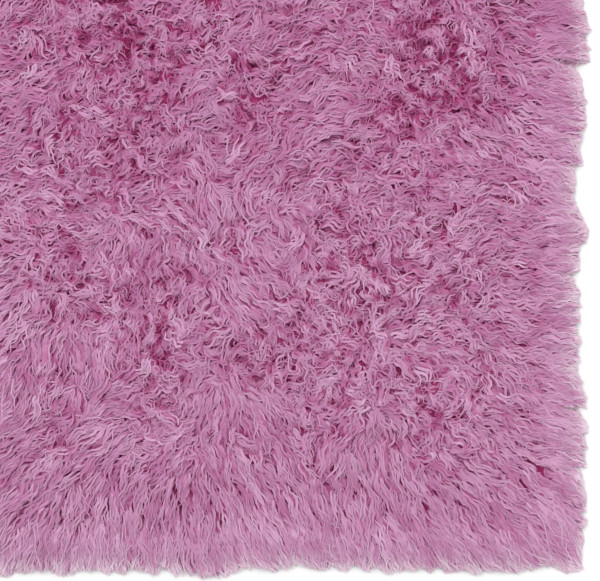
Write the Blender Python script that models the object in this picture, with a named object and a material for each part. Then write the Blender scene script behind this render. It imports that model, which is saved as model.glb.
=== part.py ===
"""Shag rug: a small wool rug woven in one piece and lying flat.

Its long pile stands on a woven ground, leans over and mats into mounds and hollows, and spills past
the ground on all four sides as pointed locks that rest on the floor.

Origin: the centre of the underside. +X across the rug, +Y along it, +Z up. Metres.
"""

import math

import bmesh
import bpy
from mathutils import Vector, noise
from mathutils.geometry import delaunay_2d_cdt

MM = 0.001

# Driving sizes
RUG_WIDTH = 0.610  # over the locks, across
RUG_LENGTH = 0.914  # over the locks, along
PILE_HEIGHT = 0.041  # mean height of the matted pile above the floor
LOCK_REACH = 0.036  # how far the rim locks reach past the woven ground
ROOT_HEIGHT = 0.023  # height of the pile where it rolls over the ground's edge
ROOT_HEIGHT_VARIES = 0.003
CORNER_RADIUS = 0.030  # of the ground's corners
CORNER_STRETCH = 1.32  # the corner locks' reach from the corner's centre, against the side locks'
EDGE_WANDER = 0.0024  # how far the ground's edge wanders in and out
EDGE_WAVELENGTH = 0.120
EDGE_RIPPLE = 0.0010  # the smaller ripple of that edge
RIPPLE_WAVELENGTH = 0.023

# The shoulder, where the pile slopes down to the rim
SHOULDER_WIDTH = 0.075
SHOULDER_INSET = 0.011  # the first ring of the top lies this far inside the rim

# The rim locks
LOCKS = 264
LOCK_WIDTH_SHARE = 0.84  # of the pitch along the rim; the rest is the gap between two locks
LEAST_REACH_SHARE = 0.66  # the shortest lock, against LOCK_REACH
REACH_WAVELENGTH = 0.027
LOCK_SWING = 0.007  # how far a tip swings sideways of itself
SWING_WAVELENGTH = 0.110
LOCK_SECTIONS = (
    # along: share of the reach; width and height: shares of those at the root
    {"along": 0.40, "width": 0.99, "height": 0.74},
    {"along": 0.76, "width": 0.68, "height": 0.42},
)

# Where the pile at the rim lies over to one side: millimetres in from the +X edge and up from the
# -Y edge, and how far the tips lean that way, along X and along Y
LAY = (
    {"in_x": 0, "up_y": 420, "radius": 40, "lean_x": 0, "lean_y": -6},
    {"in_x": 0, "up_y": 350, "radius": 30, "lean_x": 0, "lean_y": 8},
    {"in_x": 0, "up_y": 260, "radius": 45, "lean_x": 0, "lean_y": 7},
    {"in_x": 0, "up_y": 100, "radius": 75, "lean_x": 0, "lean_y": -12},
    {"in_x": 130, "up_y": 0, "radius": 110, "lean_x": 14, "lean_y": 0},
    {"in_x": 520, "up_y": 0, "radius": 60, "lean_x": -6, "lean_y": 0},
    {"in_x": 610, "up_y": 520, "radius": 110, "lean_x": 0, "lean_y": 10},
    {"in_x": 300, "up_y": 914, "radius": 100, "lean_x": -9, "lean_y": 0},
)

# The matted top: rolling mounds, and the tufts on them
MOUND_WAVELENGTH = 0.078
MOUND_RISE = 0.0068
TUFT_WAVELENGTH = 0.037
TUFT_RISE = 0.0052
LEAST_TOP = 0.024
MOST_TOP = 0.0520
TOP_STEP = 0.0156  # between the top's points
UNDERSIDE_STEP = 0.070

# Mounds and hollows placed by hand, in millimetres in from the +X edge and up from the -Y edge
RELIEF = (
    {"in_x": 55, "up_y": 492, "radius": 20, "rise": -10},
    {"in_x": 78, "up_y": 530, "radius": 18, "rise": -6},
    {"in_x": 92, "up_y": 430, "radius": 22, "rise": -8},
    {"in_x": 80, "up_y": 385, "radius": 16, "rise": -5},
    {"in_x": 147, "up_y": 505, "radius": 17, "rise": -8},
    {"in_x": 160, "up_y": 420, "radius": 17, "rise": -8},
    {"in_x": 228, "up_y": 378, "radius": 18, "rise": -6},
    {"in_x": 325, "up_y": 422, "radius": 24, "rise": -9},
    {"in_x": 450, "up_y": 505, "radius": 30, "rise": -9},
    {"in_x": 450, "up_y": 388, "radius": 20, "rise": -6},
    {"in_x": 522, "up_y": 335, "radius": 15, "rise": -7},
    {"in_x": 474, "up_y": 300, "radius": 16, "rise": -8},
    {"in_x": 376, "up_y": 283, "radius": 16, "rise": -6},
    {"in_x": 132, "up_y": 249, "radius": 18, "rise": -9},
    {"in_x": 218, "up_y": 230, "radius": 22, "rise": -6},
    {"in_x": 98, "up_y": 188, "radius": 18, "rise": -5},
    {"in_x": 484, "up_y": 190, "radius": 28, "rise": -7},
    {"in_x": 420, "up_y": 178, "radius": 18, "rise": -5},
    {"in_x": 188, "up_y": 122, "radius": 17, "rise": -7},
    {"in_x": 223, "up_y": 84, "radius": 14, "rise": -5},
    {"in_x": 300, "up_y": 487, "radius": 34, "rise": 6},
    {"in_x": 245, "up_y": 430, "radius": 24, "rise": 4},
    {"in_x": 150, "up_y": 322, "radius": 30, "rise": 5},
    {"in_x": 190, "up_y": 268, "radius": 24, "rise": 5},
    {"in_x": 315, "up_y": 275, "radius": 30, "rise": 5},
    {"in_x": 540, "up_y": 232, "radius": 24, "rise": 6},
    {"in_x": 252, "up_y": 188, "radius": 26, "rise": 6},
    {"in_x": 150, "up_y": 120, "radius": 28, "rise": 5},
    {"in_x": 345, "up_y": 85, "radius": 30, "rise": 4},
)

# The wool, dyed orchid pink
WOOL_COLOUR = (0.56, 0.235, 0.40, 1.0)
WOOL_ROUGHNESS = 0.95

ground_half_x = RUG_WIDTH / 2 - LOCK_REACH
ground_half_y = RUG_LENGTH / 2 - LOCK_REACH


def clear_scene():
    for leftover in list(bpy.data.objects):
        bpy.data.objects.remove(leftover, do_unlink=True)


def wool_material():
    wool = bpy.data.materials.new("wool")
    wool.use_nodes = True
    shader = wool.node_tree.nodes["Principled BSDF"]
    shader.inputs["Base Color"].default_value = WOOL_COLOUR
    shader.inputs["Roughness"].default_value = WOOL_ROUGHNESS
    shader.inputs["Metallic"].default_value = 0.0
    return wool


def smoothstep(share):
    share = min(max(share, 0.0), 1.0)
    return share * share * (3 - 2 * share)


def wave(x, y, wavelength, layer):
    """Smooth seeded noise from about -1 to 1; each layer is a different one."""
    return 1.4 * noise.noise(Vector((x / wavelength, y / wavelength, 7.3 * layer)))


def rim_length():
    straight = 4 * (ground_half_x + ground_half_y - 2 * CORNER_RADIUS)
    return straight + 2 * math.pi * CORNER_RADIUS


def rim_point(along, inset=0.0):
    """The point and the outward heading at a distance along the ground's uneven rim,
    counter-clockwise from the middle of the +X side."""
    place, heading = even_rim_point(along)
    wander = EDGE_WANDER * wave(place.x, place.y, EDGE_WAVELENGTH, 6)
    ripple = EDGE_RIPPLE * wave(place.x, place.y, RIPPLE_WAVELENGTH, 7)
    outward = Vector((math.cos(heading), math.sin(heading)))
    return place + outward * (wander + ripple - inset), heading


def even_rim_point(along):
    """The same for a straight-sided ground with round corners."""
    side_x = ground_half_x - CORNER_RADIUS
    side_y = ground_half_y - CORNER_RADIUS
    arc = CORNER_RADIUS * math.pi / 2
    # Each stretch: its length, the heading at its start, and its start or its arc's centre
    stretches = (
        ("side", side_y, 0, (ground_half_x, 0)),
        ("arc", arc, 0, (side_x, side_y)),
        ("side", 2 * side_x, 90, (side_x, ground_half_y)),
        ("arc", arc, 90, (-side_x, side_y)),
        ("side", 2 * side_y, 180, (-ground_half_x, side_y)),
        ("arc", arc, 180, (-side_x, -side_y)),
        ("side", 2 * side_x, 270, (-side_x, -ground_half_y)),
        ("arc", arc, 270, (side_x, -side_y)),
        ("side", side_y, 360, (ground_half_x, -side_y)),
    )
    along %= rim_length()
    for kind, length, start_heading, start in stretches:
        if along <= length or start_heading == 360:
            break
        along -= length
    heading = math.radians(start_heading)
    if kind == "arc":
        heading += along / CORNER_RADIUS
        outward = Vector((math.cos(heading), math.sin(heading)))
        return Vector(start) + outward * CORNER_RADIUS, heading
    outward = Vector((math.cos(heading), math.sin(heading)))
    forward = Vector((-outward.y, outward.x))
    return Vector(start) + forward * along, heading


def depth_inside(x, y):
    """How far inside the ground's rim a point lies."""
    past_x = abs(x) - (ground_half_x - CORNER_RADIUS)
    past_y = abs(y) - (ground_half_y - CORNER_RADIUS)
    if past_x > 0 and past_y > 0:
        return CORNER_RADIUS - math.hypot(past_x, past_y)
    return CORNER_RADIUS - max(past_x, past_y)


def top_height(x, y):
    """Height of the matted pile above the floor."""
    height = PILE_HEIGHT
    height += MOUND_RISE * wave(x, y, MOUND_WAVELENGTH, 1)
    height += TUFT_RISE * wave(x, y, TUFT_WAVELENGTH, 2)
    for lump in RELIEF:
        lump_x = RUG_WIDTH / 2 - lump["in_x"] * MM
        lump_y = -RUG_LENGTH / 2 + lump["up_y"] * MM
        away = math.hypot(x - lump_x, y - lump_y) / (lump["radius"] * MM)
        height += lump["rise"] * MM * math.exp(-away * away / 2)
    height = min(max(height, LEAST_TOP), MOST_TOP)
    rolled = smoothstep(depth_inside(x, y) / SHOULDER_WIDTH)
    return ROOT_HEIGHT + (height - ROOT_HEIGHT) * (0.25 + 0.75 * rolled)


def lock_reach(heading, x, y):
    """Reach of the lock at this point of the rim. The corners' locks reach further, which keeps the
    rug's corners nearly square."""
    off_axis = abs((math.degrees(heading) + 45) % 90 - 45)
    from_centre = CORNER_RADIUS + LOCK_REACH
    stretch = min(1 / math.cos(math.radians(off_axis)), CORNER_STRETCH)
    longest = from_centre * stretch - CORNER_RADIUS
    varied = 0.5 + 0.5 * wave(x, y, REACH_WAVELENGTH, 3)
    return longest * min(1.0, LEAST_REACH_SHARE + (1 - LEAST_REACH_SHARE) * 1.3 * varied)


def lean(x, y):
    """How far the tips lean over at this point of the rim."""
    over = Vector((0, 0, 0))
    for patch in LAY:
        patch_x = RUG_WIDTH / 2 - patch["in_x"] * MM
        patch_y = -RUG_LENGTH / 2 + patch["up_y"] * MM
        away = math.hypot(x - patch_x, y - patch_y) / (patch["radius"] * MM)
        over += Vector((patch["lean_x"], patch["lean_y"], 0)) * MM * math.exp(-away * away / 2)
    return over


def add_lock(bm, root, middle, heading):
    """One pointed lock, grown out of the rim's opening between four points of the wall. root holds
    them as lower left, lower right, upper right, upper left, seen from outside."""
    outward = Vector((math.cos(heading), math.sin(heading), 0))
    across = Vector((-outward.y, outward.x, 0))
    reach = lock_reach(heading, middle.x, middle.y)
    swing = LOCK_SWING * wave(middle.x, middle.y, SWING_WAVELENGTH, 4)
    swing += lean(middle.x, middle.y).dot(across)
    root_width = (root[1].co - root[0].co).length
    fans_out = abs(math.degrees(heading) % 90 - 45) < 44.9  # only at a corner
    tall = root[3].co.z
    ring = root
    for section in LOCK_SECTIONS:
        along = section["along"]
        centre = Vector((middle.x, middle.y, 0)) + outward * reach * along + across * swing * along**2
        width = root_width * (1 + reach * along / CORNER_RADIUS if fans_out else 1)
        half = across * width * section["width"] / 2
        up = Vector((0, 0, tall * section["height"]))
        ridge = 0.55 * half  # the upper edge is narrower than the foot
        places = (centre - half, centre + half, centre + ridge + up, centre - ridge + up)
        following = [bm.verts.new(place) for place in places]
        for k in range(4):
            bm.faces.new((ring[k], ring[(k + 1) % 4], following[(k + 1) % 4], following[k]))
        ring = following
    tip = bm.verts.new(Vector((middle.x, middle.y, 0)) + outward * reach + across * swing)
    for k in range(4):
        bm.faces.new((ring[k], ring[(k + 1) % 4], tip))


def fill_level(bm, loop, step, height_at, facing_up):
    """Fills a loop of the mesh's points with a net of triangles, a step apart, at the height that
    height_at gives."""
    outline = [Vector((vert.co.x, vert.co.y)) for vert in loop]
    inner = []
    row_step = step * math.sqrt(3) / 2
    rows = int(ground_half_y / row_step)
    columns = int(ground_half_x / step) + 1
    for row in range(-rows, rows + 1):
        shift = step / 2 * (row % 2)
        for column in range(-columns, columns + 1):
            x = column * step + shift
            y = row * row_step
            if depth_inside(x, y) > SHOULDER_INSET + 0.55 * step:
                inner.append(Vector((x, y)))
    ring = [(k, (k + 1) % len(outline)) for k in range(len(outline))]
    inside_only = 1
    flat, _, faces, *_ = delaunay_2d_cdt(outline + inner, ring, [], inside_only, 1e-7)
    verts = list(loop)
    for place in flat[len(outline):]:
        verts.append(bm.verts.new((place.x, place.y, height_at(place.x, place.y))))
    for face in faces:
        a, b, c = (flat[k] for k in face)
        upward = (b - a).cross(c - a) > 0
        corners = face if upward == facing_up else list(reversed(face))
        bm.faces.new([verts[k] for k in corners])


def build_rug(wool):
    bm = bmesh.new()
    pitch = rim_length() / LOCKS
    feet, brims, shoulder = [], [], []
    for index in range(LOCKS):
        middle_along = (index + 0.5) * pitch
        for side in (-0.5, 0.5):
            place, _ = rim_point(middle_along + side * LOCK_WIDTH_SHARE * pitch)
            brim_height = ROOT_HEIGHT + ROOT_HEIGHT_VARIES * wave(place.x, place.y, 0.03, 5)
            feet.append(bm.verts.new((place.x, place.y, 0)))
            brims.append(bm.verts.new((place.x, place.y, brim_height)))
        inner, _ = rim_point(middle_along, SHOULDER_INSET)
        shoulder.append(bm.verts.new((inner.x, inner.y, top_height(inner.x, inner.y))))
    for index in range(LOCKS):
        left, right = 2 * index, 2 * index + 1
        following = (right + 1) % (2 * LOCKS)
        middle, heading = rim_point((index + 0.5) * pitch)
        root = [feet[left], feet[right], brims[right], brims[left]]
        add_lock(bm, root, middle, heading)
        bm.faces.new((feet[right], feet[following], brims[following], brims[right]))
        bm.faces.new((brims[left], brims[right], shoulder[index]))
        after = (index + 1) % LOCKS
        bm.faces.new((brims[right], brims[following], shoulder[after], shoulder[index]))
    fill_level(bm, shoulder, TOP_STEP, top_height, facing_up=True)
    fill_level(bm, feet, UNDERSIDE_STEP, lambda x, y: 0.0, facing_up=False)

    low = [min(vert.co[axis] for vert in bm.verts) for axis in range(2)]
    high = [max(vert.co[axis] for vert in bm.verts) for axis in range(2)]
    to_centre = Vector((-(low[0] + high[0]) / 2, -(low[1] + high[1]) / 2, 0))
    bmesh.ops.translate(bm, verts=bm.verts, vec=to_centre)

    mesh = bpy.data.meshes.new("rug")
    bm.to_mesh(mesh)
    bm.free()
    mesh.shade_smooth()
    mesh.set_sharp_from_angle(angle=math.radians(50))
    mesh.materials.append(wool)
    rug = bpy.data.objects.new("rug", mesh)
    bpy.context.scene.collection.objects.link(rug)
    return rug


clear_scene()
build_rug(wool_material())
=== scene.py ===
"""The looks of the shag rug: its wool pile, its woven ground, the light and the camera."""

import math
from collections import namedtuple

import bpy
import numpy as np
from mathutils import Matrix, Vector
from mathutils.bvhtree import BVHTree


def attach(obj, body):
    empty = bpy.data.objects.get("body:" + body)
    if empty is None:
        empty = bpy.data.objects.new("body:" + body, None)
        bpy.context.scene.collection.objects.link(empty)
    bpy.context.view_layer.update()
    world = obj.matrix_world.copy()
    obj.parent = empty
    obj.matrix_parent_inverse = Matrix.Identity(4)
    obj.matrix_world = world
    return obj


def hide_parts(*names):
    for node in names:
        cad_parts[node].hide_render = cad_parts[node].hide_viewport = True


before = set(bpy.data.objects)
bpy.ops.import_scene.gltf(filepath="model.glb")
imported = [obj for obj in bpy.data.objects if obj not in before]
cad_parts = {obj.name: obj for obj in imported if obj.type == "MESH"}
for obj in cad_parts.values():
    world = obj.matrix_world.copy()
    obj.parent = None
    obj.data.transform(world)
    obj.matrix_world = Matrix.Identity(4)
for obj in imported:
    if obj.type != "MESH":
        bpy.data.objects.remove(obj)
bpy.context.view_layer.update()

MM = 0.001
rng = np.random.default_rng(7)

# Smooth noise: its strength, its wavelength and its lattice's seed
Wave = namedtuple("Wave", "strength length seed")
# Rows of the tables below: lengths in millimetres, in_x from the +X edge and up_y from the -Y edge,
# and headings in degrees from +X towards +Y
Lay = namedtuple("Lay", "in_x up_y heading radius")
Parting = namedtuple("Parting", "in_x up_y radius depth")
Deeper = namedtuple("Deeper", "in_x up_y by wild radius")
Reach = namedtuple("Reach", "in_x up_y out radius")
Tooth = namedtuple("Tooth", "up_y tip notch")

# A layer that covers the ones under it hides the sky from them, and so deepens their painted shade.
# The last field is an offset to the layer's painted light.
Layer = namedtuple("Layer", "name paths share thick shade roll bands covers pale")

# The rug, as in the part's source
RUG_WIDTH = 0.610
RUG_LENGTH = 0.914
RIM_REACH = 0.036  # of the pile, past the woven ground
CORNER_RADIUS = 0.030
CORNER_STRETCH = 1.32  # of the strands at the corners
RIM_HEIGHT = 0.0255  # of the pile over the ground's edge
RIM_FALL = (0.40, 0.55)  # shares of it that go on the way out, evenly and ever faster
RIM_BLEND = (0.001, 0.024)  # where that takes over from the solid's height, and over how much
half_x = RUG_WIDTH / 2 - RIM_REACH
half_y = RUG_LENGTH / 2 - RIM_REACH

# The pile's outline
CORNER_TURN = 0.075  # from a corner, where the pile starts to turn round it
OUTER_CORNER = 0.005
EVEN_CORNER = 0.016  # round which the outline is nearly even
EVEN_SHARE = 0.8  # how much less uneven it is there and at the teeth
RIM_FLUFF = 0.0065  # of the rim's soft tips past its firm outline
UNEVEN = (Wave(0.0026, 0.060, 11), Wave(0.0016, 0.024, 12))
NOTCH = Wave(0.0090, 0.028, 13)  # between the rim's pointed clumps
NOTCH_POWER = 0.8
END_NOTCH = 0.5  # how deep notches are at the rug's ends, against its sides
JAG = Wave(0.0022, 0.0085, 14)  # its smallest points
RAGGED = 0.0020  # how far a tuft falls short of the outline
STRAND_RAGGED = 0.0012  # and a strand besides
TOOTH_RAGGED = 0.6  # how much of both is left at the teeth
BACKING_RAGGED = 0.004
LET_OUT = 1.2  # how surely the rim's strands are let out to the outline
LET_OUT_RIM = (0.020, 0.042)  # and how far in
GROWTH_STEP = (0.6, 1.4)  # how much a strand shrinks or grows to fit it at a time
GROWTH = (0.3, 1.4)  # and in all
LOOP_PAST = 0.0015  # how far past it a loop is drawn quite straight

# The pile's top
TOP_STEP = 0.0025  # of its net
NET_MARGIN = 17  # points past the rug's own size
PARTING_SPREAD = 0.75  # of a hollow's radius in the table
PARTING_DEPTH = 0.4  # of its depth, as the strands sink there of themselves
SMALL_DIP = 0.0125  # depth of the small hollows between the tufts
DIP_WAVES = (Wave(0.8, 0.021, 21), Wave(0.8, 0.0115, 22))
DIP_FROM = (0.12, 0.85)  # where in those a hollow starts, and over how much it deepens
DIP_RIM = 0.03  # how far in they have their whole depth

# How the pile lies
ALONG_WAVES = (Wave(0.75, 0.11, 1), Wave(0.35, 0.05, 3))
ACROSS_WAVES = (Wave(0.75, 0.11, 2), Wave(0.35, 0.05, 4))
RIM_PULL = 2.6  # how strongly the rim's strands turn outwards
RIM_PULL_REACH = 0.085
LAY_PULL = 3.2  # how strongly the pile follows the table's headings
PARTING_PUSH = 0.07  # how strongly it turns away from a parting, per mm of depth
PARTING_FADE = 2.2

# Where it is in disorder, from 0 to 1
DISORDER = 0.28
DISORDER_WAVES = (Wave(0.26, 0.10, 5), Wave(0.14, 0.045, 6))
WILD_PART = 0.46  # more of it towards the -X, +Y corner
WILD_FROM = ((0.02, 0.22), (-0.25, 0.3))  # where that starts, and over how much it grows
LEAST_DISORDER = 0.05
CALM_RIM = 0.09  # reach of the rim's calm
CALM_END = 0.03  # and how much further at the rug's ends
CALM_SHARE = 0.15  # of the disorder is left there

# The tufts that the strands gather into. A RANGE is the least and the most. A pair for by_disorder
# is a calm tuft's value and what full disorder adds to it.
TUFT_STEP = 0.0098  # between them
TUFT_JITTER = 0.32
TUFT_MARGIN = 0.003  # how far past the ground's edge they stand
TUFT_RIM = 0.075  # how far in they count as the rim's
TUFT_SPREAD = (0.14, 1.15)  # of their headings, in radians
RIM_SPREAD = 0.4  # how much less that is at the rim
TUFT_BEND = (0.18, 0.55)
HOOKED_SHARE = (0.20, 0.65)  # the share with a hooked tip
HOOK_RANGE = (1.2, 4.2)
HOOK_SHARE = (0.15, 0.85)
CRIMP = (0.28, 1.10)
CRIMP_RANGE = (0.4, 1.3)
CRIMP_LENGTH = (0.012, 0.021)
LYING_LENGTH = 0.037  # of a strand, seen from above, once it leans over
RIM_LYING_LENGTH = 0.056
LENGTH_RANGE = (0.80, 1.10)
LAYER_RANGE = (-0.0055, 0.0010)  # how high in the pile they lie
LAYER_SHARE = (0.55, 0.85)
RIM_LAYER = 0.65  # how much less of that is left at the rim
ARCH_RANGE = (0.0, 0.0028)
RIM_ARCH = 0.7
TIP_DROP_RANGE = (-0.002, 0.006)
RIM_DROP_RANGE = (-0.002, 0.002)
BACK_SHARE = 0.5  # of a tuft's length, behind its point of the net
BACK_INSIDE = 0.002  # how far in that stays

# How a strand differs from its tuft
FOOT_SHARES = (0.0, 0.19, 0.33)  # where along it the points of its foot lie
FOOT_RISE = 0.36  # how far along it rises
FOOT_RUN = (0.25, 0.30)  # how much of it runs sideways at first, and how soon all does
STRAND_SPREAD = (0.05, 0.18)
WILD_SHARE = (0.2, 1.3)
PHASE_SPREAD = 0.4
HEIGHT_PHASE = 0.3
STRAND_CRIMP = (-0.3, 0.5)
CURL_FROM = 0.42  # where along it a hooked tip starts to curl
CURL_POWER = 1.4
HOOK_SPREAD = 0.35
DISORDER_HOOK = 0.7
STRAND_BEND = (0.10, 0.5)  # and how much more in a wild layer
BEND_ABOUT = 0.3
TIP_SPREADS = (0.7, 0.55)  # how much it leaves its tuft again, and from where
GATHER_POWER = 1.1
WAVE_HEIGHT = 0.0010
WAVE_STRETCH = 1.4  # of the waves in its height, against its crimp
DROP_SPREAD = 0.0008
LEAST_HEIGHT = (0.0006, 0.0014)  # over the floor
ROOT_HEIGHT = 0.002
LIFT_RIM = 0.045  # how far in from the outline it has its whole lift
RIM_LIFT = 0.25  # and how much of it at the outline

# A strand's blade
STRAND_RADIUS = 0.00118  # half a strand's breadth
RADIUS_RANGE = (0.70, 1.25)
SWELL_AT = (0, 0.15, 0.45, 0.8, 0.93, 1)  # along it, and how broad it is there
SWELL = (0.75, 1.0, 1.0, 0.80, 0.55, 0.15)
STEEP = 0.15  # its side can't be told if it is less level than this
STRAND_ROLL = 0.35
STRAND_FAN = 0.17  # how far its normals turn outwards at its edges
UPWARD_NORMAL = 1.4  # and upwards, as wool scatters its light

# The layers of strands
ROOT_STEP = 0.0046  # between the strands' roots
ROOT_JITTER = 0.45
UNDER_STEP = 0.0084  # between those of the shorter strands underneath
RIM_STEP = 0.0040  # and of the ones that are added along the rim
RIM_BAND = 0.030  # and how far in those stand
CORNER_STEP = 0.0029  # and at the corners, where they spread over more room
CORNER_PATCH = 0.042
RIM_FELT_STEP = 0.0042  # between the broad low locks that fill the rim's foot
RIM_FELT_BAND = 0.012
WISP_STEP = 0.0085  # between the thin loose ones on top
GATHER_SPREAD = 0.2
GATHER_LIMITS = (0.05, 0.85)
RIM_GATHER = 0.35  # how much less the strands gather at the rim
GATHER_RIM = 0.06
BACKING_LENGTH = 0.95
BACKING_RADIUS = 0.0036  # of the felted lock under each tuft's strands
BACKING_SPREAD = (0.85, 1.15)
BACKING_DEPTH = (0.0009, 0.0016)  # how far it lies under them, by_disorder
BACKING_ROLL = 0.08
FOOT_DEPTH = 0.0046  # of the dense felted wool, under the pile's top
FOOT_LEAST = 0.006  # and its height over the floor
GROUND_TOP = 0.0022
FRIZZ_RADIUS = 0.00028
FRIZZ_SPREAD = (0.6, 1.3)
FRIZZ_COUNT = 1.55  # for each strand
FRIZZ_FROM = 3  # the first point of a strand that a fibre leaves
FRIZZ_SHARES = (0.55, 0.70, 0.85, 1.0)
FRIZZ_AWAY = (0.0010, 0.0022, 0.0030)  # how far it stands off, slants and curls
FRIZZ_LOOSE = (0.6, 1.3)
FRIZZ_FLAT = 0.3  # how much of that is left in its height
FRIZZ_HEIGHT = (0.0002, 0.0016)  # over its strand
FRIZZ_FLOOR = 0.0008

# The wool's colour, with the light and shade painted into it
TONES = 16  # shades of wool, from the deepest to the palest
TONE_WAVE = Wave(0.07, 0.16, 31)
TUFT_TONE = 0.24  # how much the tufts differ, and the strands, and the fibres
STRAND_TONE = 0.08
FRIZZ_TONE = 0.10
RIM_TONE = 0.14  # how much paler the rim is
RIM_TONE_REACH = 0.035
# the felted locks' deeper tone column: painted shade in the gaps they fill
BACKING_PAINTED_SHADE_TONE = 0.30
BACKING_PAINTED_SHADE = -0.14  # painted shade: how much less painted light they get than the rest, away from the rim
# painted light: how much more of it the loose fibres get
FRIZZ_PAINTED_LIGHT = 0.02
# How much of the sky the strands round a point hide sets the painted shade in its colour
SKY_STEP = 0.0009  # of the net of the strands' surface
SKY_POINTS = 5  # between two points of a strand
SKY_BOTTOM = -0.02
SKY_TURNS = 8  # directions in which neighbours may hide the sky
SKY_REACHES = (0.0017, 0.0030, 0.0048, 0.0075)  # and how far away
SHUT_SHADE = 0.84  # painted shade: how much deeper in colour a strand is if they hide all of the sky from it
DIP_SHADE = 0.36  # painted shade: and in a hollow
DIP_FULL = 0.008  # as deep as this
THIN_RIM = 0.026  # how far in from the outline the pile is too thin to hide the sky
PALE_RIM = 0.033  # and how far in the strands pale
PALE_SHARE = 0.2  # and by how much
EDGE_SHADE = 0.12  # painted shade: how much deeper in colour a strand is at its edges
PAINTED_RIDGE = 0.2  # where its painted highlight lies across it, from -1 to 1
PALE_TIPS = 5.0  # the palest one part in this many has no painted edge shade
COLUMN_SHARE = 0.47  # of a tone's column, to each side of its middle
MAP_MARGIN = 0.01

# How the strands lie in the photo
LAY = [Lay(*row) for row in (
    # rim at the -Y side, from the corner inwards
    (60, 45, -42, 45), (140, 40, -46, 45), (220, 40, -48, 45), (300, 40, -52, 40),
    (370, 40, -72, 35), (440, 45, -90, 40), (520, 50, -100, 45),
    # rim at the +X side, from the corner upwards
    (45, 130, -40, 40), (45, 195, -25, 30), (45, 255, 22, 30), (50, 320, 0, 28),
    (110, 352, 40, 26), (45, 380, -34, 22), (45, 430, -12, 32), (45, 520, 6, 45),
    # middle
    (240, 315, -42, 40), (295, 250, -40, 28), (140, 260, 36, 28), (140, 205, -45, 26),
    (130, 320, 0, 28), (130, 390, -35, 26), (225, 415, 20, 42), (310, 425, 45, 34),
    (320, 475, 0, 34), (300, 525, 45, 32), (135, 520, -50, 42), (350, 145, 230, 20),
    (310, 135, -52, 28),
    # towards the -X side
    (510, 525, 225, 34), (420, 520, 0, 34), (510, 425, 228, 36), (420, 450, 60, 28),
    (510, 330, 150, 34), (420, 375, 65, 26), (420, 270, -90, 48), (510, 225, -90, 42),
    (420, 148, 180, 22), (420, 105, 210, 24), (510, 120, 228, 34),
)]

# Where they part, and the foot of the pile shows, deep in painted shade
PARTINGS = [Parting(*row) for row in (
    (478, 541, 10, 9), (452, 508, 19, 10), (434, 484, 11, 8), (519, 489, 9, 8),
    (457, 451, 9, 8), (419, 456, 9, 8), (391, 527, 9, 7), (452, 390, 11, 8),
    (324, 428, 17, 10), (348, 404, 9, 7), (386, 380, 9, 7), (300, 375, 9, 6),
    (229, 380, 10, 7), (205, 456, 10, 7), (191, 484, 8, 6), (148, 503, 13, 10),
    (167, 418, 15, 9), (100, 432, 12, 8), (58, 494, 12, 9), (86, 389, 9, 6),
    (524, 337, 9, 8), (476, 304, 12, 10), (376, 285, 10, 8), (410, 247, 9, 7),
    (486, 218, 10, 8), (486, 162, 13, 10), (419, 181, 10, 8), (329, 204, 10, 8),
    (214, 245, 12, 8), (129, 257, 13, 9), (96, 190, 9, 7), (191, 124, 12, 10),
    (219, 86, 9, 7), (257, 133, 9, 6), (324, 76, 8, 6), (457, 95, 9, 6),
    (72, 71, 7, 5), (119, 109, 8, 6),
)]

# Where the pile is deeper in colour, by how much, and how much more it curls there
DEEPER = [Deeper(*row) for row in (
    (500, 480, 0.24, 0.0, 95), (35, 545, 0.44, 0.35, 48),
    (140, 490, 0.20, 0.30, 80), (290, 390, 0.14, 0.15, 50),
)]

# The pointed locks of the +X side, from the +Y end down. They lean towards the -Y end, so the
# outline runs out to each tip and steps back to the notch under it: how far out both lie, in mm.
TEETH = [Tooth(*row) for row in (
    (529, 4.8, 2.9), (512, 6.2, 1.0), (487, 7.6, -15.0), (414, 2.9, -2.4),
    (390, 0.0, -10.0), (352, -6.7, -11.4), (314, 4.8, -4.8), (287, -2.0, -13.0),
    (261, -2.9, -6.7), (252, -0.5, -9.5), (238, 0.0, -5.7), (199, -2.0, -10.5),
    (181, 0.0, -3.1), (160, 5.0, -13.0), (132, 4.8, -2.4), (117, 5.3, 1.0),
    (101, 5.7, -6.5), (41, 5.3, -0.6),
)]
TOOTH_STEP = 1.2  # over which the outline steps back
TOOTH_RISE = 13.0  # over which it runs out again
TOOTH_FLUFF = 3.6  # of the rim's fluff, which the teeth leave out
TOOTH_SHARES = (0.1, 0.25, 0.5, 0.75)  # points of the way from a notch to the next tip
TEETH_FROM = (10, 25)  # where they start at the -Y end, and over how much
TEETH_TO = (540, 12)  # and end

# Where the rim reaches further out or less far
OUTLINE = [Reach(*row) for row in (
    (0, 0, -3.0, 12), (32, 0, -5.0, 8), (350, 0, 6.0, 17),
    (270, 0, -6.0, 30), (170, 0, -3.5, 30), (560, 0, 2.0, 20),
)]


def smoothstep(share):
    share = np.clip(share, 0.0, 1.0)
    return share * share * (3 - 2 * share)


def placed(name, data):
    """A new object in the scene."""
    obj = bpy.data.objects.new(name, data)
    bpy.context.scene.collection.objects.link(obj)
    return obj


def blended(grid, i, j, fu, fv):
    """The value between four points of a grid."""
    low = grid[i, j] * (1 - fu) + grid[i + 1, j] * fu
    high = grid[i, j + 1] * (1 - fu) + grid[i + 1, j + 1] * fu
    return low * (1 - fv) + high * fv


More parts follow.
